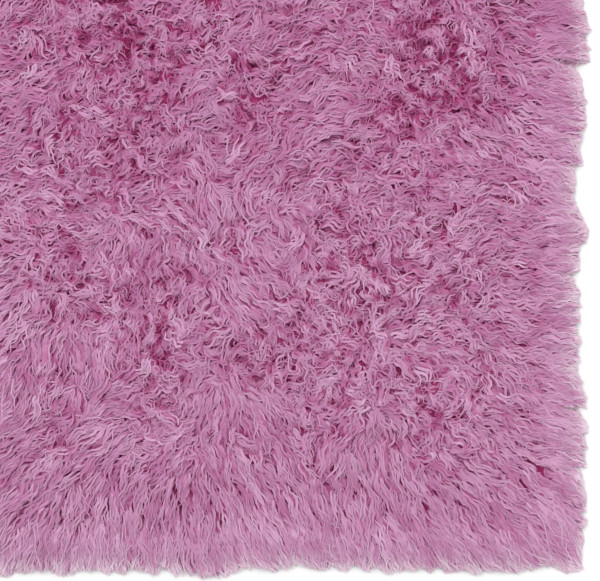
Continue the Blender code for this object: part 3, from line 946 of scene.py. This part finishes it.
class Pile:
    """Makes the layers of strands. Each becomes one or more joined meshes."""

    def __init__(self, top):
        self.top = top
        self.tufts = Tufts(TUFT_STEP)
        self.wool = wool_material()
        self.layers = []

    def add_layer(
        self, name, step, points, shift, length, gather, wild, tone,
        broad=1.0, bands=1, band=math.inf, corners=False, covers=True, pale=0.0,
    ):
        """Strands rooted a step apart, over the whole ground, in a band along its edge or at its
        corners. The shift is how high they lie against their tuft, and the length a share of its."""
        x, y = scattered(step, ROOT_JITTER)
        near = np.minimum(np.abs(x) - half_x, np.abs(y) - half_y) > -CORNER_PATCH
        keep = near if corners else depth_inside(x, y) < band
        x, y = x[keep], y[keep]
        count = x.size
        shift = rng.uniform(*shift, count)
        rim = rim_share(x, y, GATHER_RIM)
        pull = gather * (1 - RIM_GATHER * rim) + GATHER_SPREAD * rng.normal(0, 1, count)
        pull = np.clip(pull, *GATHER_LIMITS)[:, None]
        length = rng.uniform(*length, count)
        paths, share, tuft = strand_paths(self.tufts, x, y, length, points, pull, wild)
        ragged = self.tufts.ragged[tuft] + np.abs(rng.normal(0, STRAND_RAGGED, count))
        paths = fit_to_outline(paths, ragged)
        paths = settle(self.top, paths, share, self.tufts, tuft, shift)
        shade = tone + TUFT_TONE * self.tufts.tone[tuft] + STRAND_TONE * rng.normal(0, 1, count)
        shade = shade + tone_at(x, y) + RIM_TONE * rim_share(x, y, RIM_TONE_REACH)
        thick = broad * STRAND_RADIUS * rng.uniform(*RADIUS_RANGE, count)
        layer = Layer(name, paths, share, thick, shade, STRAND_ROLL, bands, covers, pale)
        self.layers.append(layer)

    def add_backing(self):
        """A broad flat lock under each tuft's strands, which closes the gaps between them. Its deeper
        colour is painted shade in those gaps.
        """
        tufts = self.tufts
        ones = np.ones(tufts.x.size)
        length = BACKING_LENGTH * ones
        paths, share, tuft = strand_paths(
            tufts, tufts.x, tufts.y, length, points=7, gather=ones[:, None], wild=0.0
        )
        paths = fit_to_outline(paths, BACKING_RAGGED * ones)
        depth = by_disorder(BACKING_DEPTH, tufts.disorder)
        paths = settle(self.top, paths, share, tufts, tuft, -depth)
        thick = BACKING_RADIUS * rng.uniform(*BACKING_SPREAD, tufts.x.size)
        # painted shade: a deeper tone and less painted light than the strands over them
        shade = BACKING_PAINTED_SHADE_TONE + tone_at(tufts.x, tufts.y)
        roll, pale = BACKING_ROLL, BACKING_PAINTED_SHADE
        self.layers.append(Layer("felted_locks", paths, share, thick, shade, roll, 1, False, pale))

    def add_frizz(self, strands):
        """Short loose fibres along the strands, which blur them as felting does."""
        share = np.array(FRIZZ_SHARES)
        points = share.size
        count = int(len(strands.paths) * FRIZZ_COUNT)
        strand = rng.integers(0, len(strands.paths), count)
        start = rng.integers(FRIZZ_FROM, strands.paths.shape[1] - points + 1, count)
        fibre = strands.paths[strand[:, None], start[:, None] + np.arange(points)].copy()
        along = np.linspace(0, 1, points)[None, :, None]
        offset, slant, curl = (rng.normal(0, size, (count, 1, 3)) for size in FRIZZ_AWAY)
        away = offset + slant * along + curl * along * (1 - along)
        disorder = disorder_at(*fibre[:, 0, :2].T)
        away = away * by_disorder(FRIZZ_LOOSE, disorder)[:, None, None]
        away[:, :, 2] = FRIZZ_FLAT * away[:, :, 2] + rng.uniform(*FRIZZ_HEIGHT, (count, 1))
        fibre += away
        fibre[:, :, 2] = np.maximum(fibre[:, :, 2], FRIZZ_FLOOR)
        thick = FRIZZ_RADIUS * rng.uniform(*FRIZZ_SPREAD, count)
        shade = strands.shade[strand] + FRIZZ_TONE * rng.normal(0, 1, count)
        layer = Layer("frizz", fibre, share, thick, shade, STRAND_ROLL, 1, False, FRIZZ_PAINTED_LIGHT)
        self.layers.append(layer)

    def build(self):
        """Paints shade into the strands' colour by how much sky their neighbours leave them, and
        makes the meshes.
        """
        envelope = Envelope(self.top, [layer.paths for layer in self.layers if layer.covers])

        def painted_light_and_pale_rim_at(points, pale):
            x, y = points.T[:2]
            outer = outer_depth(x, y)
            thick = smoothstep(outer / THIN_RIM)
            # painted shade: the colour deepens where the strands round a point hide the sky from it,
            # and in the hollows
            shut = thick * (1 - envelope.sky(points))
            hollow = np.clip(self.top.net.read(self.top.dip, x, y) / DIP_FULL, 0, 1)
            painted_light_and_pale_rim = (1 - SHUT_SHADE * shut) * (1 - DIP_SHADE * hollow)
            # a layer's own offset to its painted light and shade; below 0 it fades out towards the
            # rim
            painted_light_and_pale_rim = painted_light_and_pale_rim + (pale if pale > 0 else pale * thick)
            # and the strands pale towards the outline
            return (1 - PALE_SHARE) * painted_light_and_pale_rim + PALE_SHARE * (1 - smoothstep(outer / PALE_RIM))

        for layer in self.layers:
            order = np.argsort(layer.paths[:, 0, 1])
            for number, band in enumerate(np.array_split(order, layer.bands), 1):
                name = layer.name if layer.bands == 1 else f"{layer.name}_{number}"
                dress(strand_mesh(name, layer, band, painted_light_and_pale_rim_at, self.wool))


def build_pile(top):
    pile = Pile(top)
    pile.add_layer(
        "pile", ROOT_STEP, points=10, shift=(-0.0004, 0.0009),
        length=(0.85, 1.12), gather=0.50, wild=0.0, tone=0.43, bands=4,
    )
    pile.add_frizz(pile.layers[0])
    pile.add_layer(
        "under_pile", UNDER_STEP, points=6, broad=2.2, shift=(-0.0060, -0.0025),
        length=(0.8, 1.1), gather=0.3, wild=1.3, tone=0.40,
    )
    pile.add_layer(
        "rim_pile", RIM_STEP, points=9, broad=1.25, shift=(-0.006, 0.001),
        length=(0.9, 1.1), gather=0.3, wild=0.1, tone=0.43, band=RIM_BAND,
    )
    pile.add_layer(
        "corner_pile", CORNER_STEP, points=9, broad=1.25, shift=(-0.005, 0.000),
        length=(0.9, 1.2), gather=0.3, wild=0.1, tone=0.43, corners=True,
    )
    pile.add_layer(
        "rim_felt", RIM_FELT_STEP, points=7, broad=2.6, shift=(-0.012, -0.008),
        length=(0.7, 0.9), gather=0.0, wild=0.1, tone=0.45, band=RIM_FELT_BAND, covers=False,
    )
    # the loose wisps on top get a little more painted light
    pile.add_layer(
        "wisps", WISP_STEP, points=8, broad=0.55, shift=(0.0005, 0.0030),
        length=(0.7, 1.2), gather=0.1, wild=0.4, tone=0.50, covers=False, pale=0.03,
    )
    pile.add_backing()
    pile.build()


FLOOR = 4.0  # half its breadth
FLOOR_DROP = 0.0002


def build_stage():
    mesh = bpy.data.meshes.new("floor")
    corners = [(-1, -1), (1, -1), (1, 1), (-1, 1)]
    mesh.from_pydata([(FLOOR * x, FLOOR * y, -FLOOR_DROP) for x, y in corners], [], [(0, 1, 2, 3)])
    floor = placed("floor", mesh)
    paper = Material("paper", 0.9)
    paper.fill((0.92, 0.92, 0.92, 1), "Base Color")
    mesh.materials.append(paper.made)

    def area_light(name, place, size, power):
        light = bpy.data.lights.new(name, "AREA")
        light.shape = "RECTANGLE"
        light.size, light.size_y = size
        light.energy = power
        lamp = placed(name, light)
        lamp.location = place
        lamp.rotation_euler = (-Vector(place)).to_track_quat("-Z", "Y").to_euler()

    area_light("key", (-0.5, 0.9, 2.6), (2.2, 1.8), 50)
    area_light("fill", (1.4, -1.0, 2.4), (2.0, 2.0), 22)
    world = bpy.data.worlds.new("studio")
    world.use_nodes = True
    background = world.node_tree.nodes["Background"]
    background.inputs["Color"].default_value = (1, 1, 1, 1)
    background.inputs["Strength"].default_value = 0.54
    bpy.context.scene.world = world
    bpy.context.scene.view_settings.view_transform = "Standard"


# The camera looks straight down on the rug's corner. The photo's frame is 600 by 581, the rug's
# outline lies at 585 across and 573 down in it, and a pixel is 0.95 mm at the height of its rim.
PIXEL = 0.00095
FRAME_PIXELS = (600, 581)
EDGE_PIXELS = (585, 573)
PIXEL_HEIGHT = 0.015
CAMERA_LENS = 100
CAMERA_SENSOR = 36


def build_camera():
    camera = bpy.data.cameras.new("camera")
    camera.lens = CAMERA_LENS
    camera.sensor_width = CAMERA_SENSOR
    holder = placed("camera", camera)
    across = RUG_WIDTH / 2 - (EDGE_PIXELS[0] - FRAME_PIXELS[0] / 2) * PIXEL
    up = -RUG_LENGTH / 2 + (EDGE_PIXELS[1] - FRAME_PIXELS[1] / 2) * PIXEL
    distance = FRAME_PIXELS[0] * PIXEL * CAMERA_LENS / CAMERA_SENSOR
    holder.location = (across, up, PIXEL_HEIGHT + distance)
    bpy.context.scene.camera = holder


pile_top = PileTop(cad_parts["rug"])
dress(slab(
    "pile_foot", lambda x, y: np.maximum(pile_top(x, y) - FOOT_DEPTH, FOOT_LEAST),
    inset=0.004, step=0.006, bottom=0.0026, material=foot_material(),
))
ground = slab(
    "ground_weave", lambda x, y: np.full(x.shape, GROUND_TOP),
    inset=0.0, step=0.020, bottom=0.0002, material=ground_material(),
)
dress(ground)
build_pile(pile_top)
build_stage()
build_camera()
